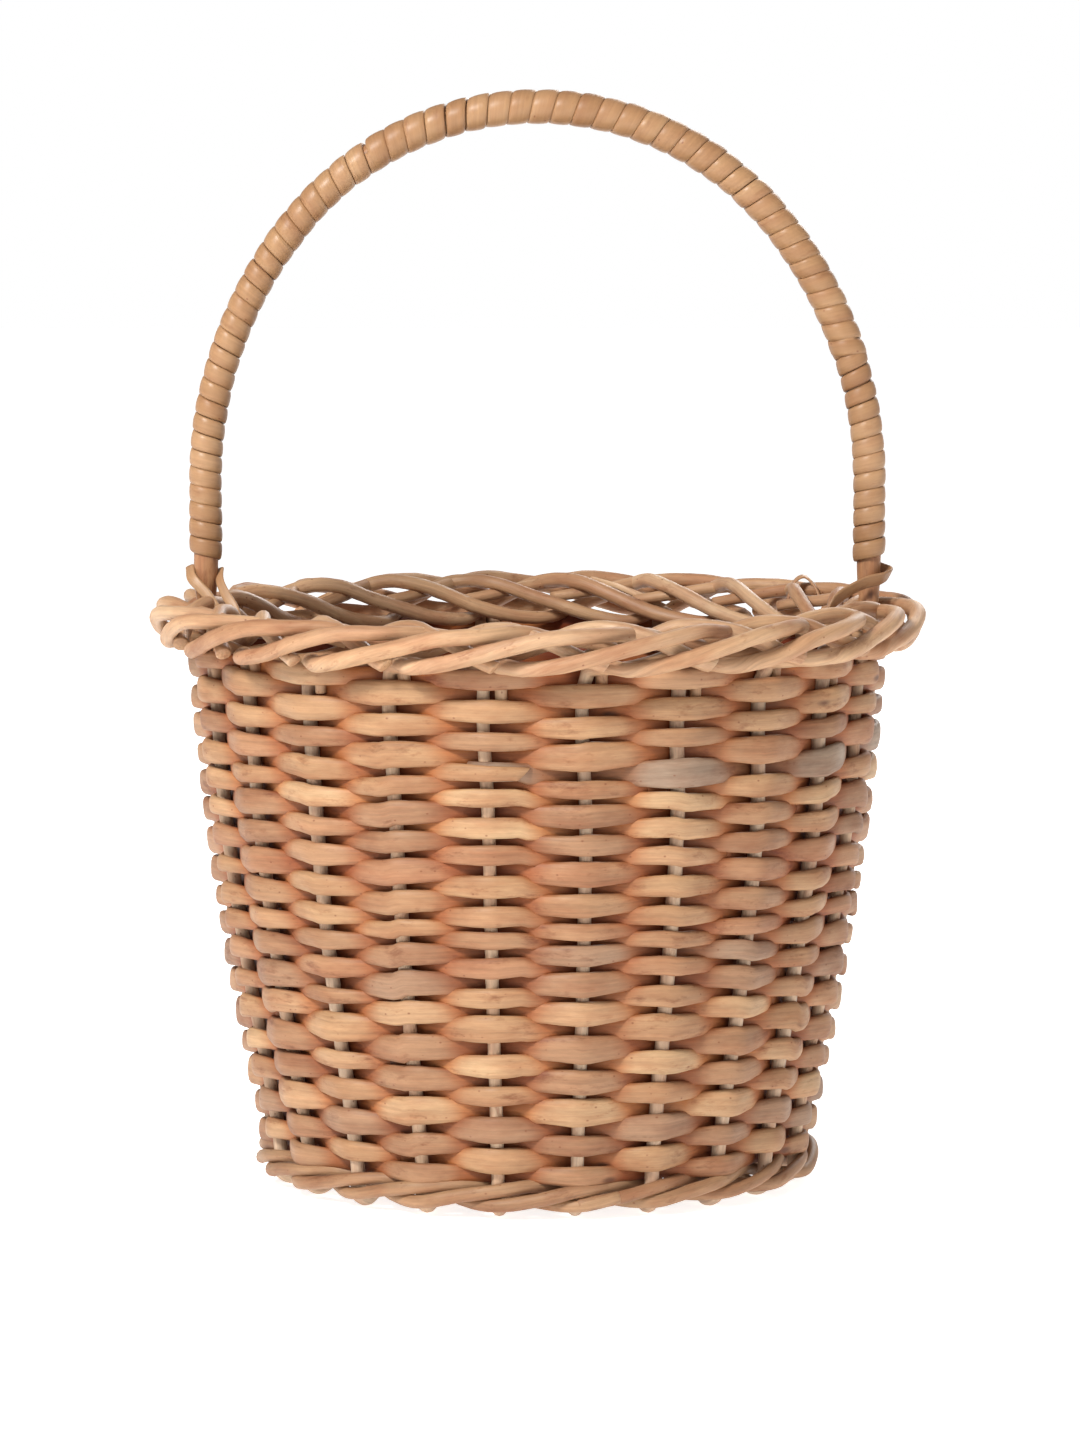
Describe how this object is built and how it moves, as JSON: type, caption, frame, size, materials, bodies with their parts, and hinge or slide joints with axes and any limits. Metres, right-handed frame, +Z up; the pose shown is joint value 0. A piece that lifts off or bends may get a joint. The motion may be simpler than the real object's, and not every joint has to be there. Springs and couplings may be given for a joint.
{
  "type": "woven market basket",
  "caption": "Round woven willow market basket with tapering sides, a plaited rolled border and one fixed bow handle wrapped in skein.",
  "frame": {"origin": "centre of the foot on the ground, at the middle of the basket's bounding box in X and Y", "axes": "+Z up, X along the handle's span, Y across it"},
  "size_m": [0.2994, 0.2988, 0.4238],
  "materials": {
    "base_stick": "satin",
    "base_rod": "satin",
    "stake": "satin",
    "foot_wale": "satin",
    "weaver": "satin",
    "border_rod": "satin",
    "bow": "satin",
    "skein": "satin",
    "lashing": "satin"
  },
  "bodies": {
    "root": {"slath_split_sticks": "base_stick", "slath_through_sticks": "base_stick", "base_rods_upper": "base_rod", "base_rods_lower": "base_rod", "side_stake_01": "stake", "side_stake_02": "stake", "side_stake_03": "stake", "side_stake_04": "stake", "side_stake_05": "stake", "side_stake_06": "stake", "side_stake_07": "stake", "side_stake_08": "stake", "side_stake_09": "stake", "side_stake_10": "stake", "side_stake_11": "stake", "side_stake_12": "stake", "side_stake_13": "stake", "side_stake_14": "stake", "side_stake_15": "stake", "side_stake_16": "stake", "side_stake_17": "stake", "side_stake_18": "stake", "side_stake_19": "stake", "side_stake_20": "stake", "side_stake_21": "stake", "side_stake_22": "stake", "foot_wale": "foot_wale", "weaver_rounds_01": "weaver", "weaver_rounds_02": "weaver", "weaver_rounds_03": "weaver", "weaver_rounds_04": "weaver", "weaver_rounds_05": "weaver", "weaver_rounds_06": "weaver", "weaver_rounds_07": "weaver", "weaver_rounds_08": "weaver", "weaver_rounds_09": "weaver", "weaver_rounds_10": "weaver", "weaver_rounds_11": "weaver", "weaver_rounds_12": "weaver", "weaver_rounds_13": "weaver", "weaver_rounds_14": "weaver", "weaver_rounds_15": "weaver", "weaver_rounds_16": "weaver", "weaver_rounds_17": "weaver", "bye_stakes": "border_rod", "bow_handle": "bow", "skein_wrap_left": "skein", "skein_wrap_crown": "skein", "skein_wrap_right": "skein", "foot_lashing_left": "lashing", "foot_lashing_right": "lashing"}
  },
  "joints": []
}
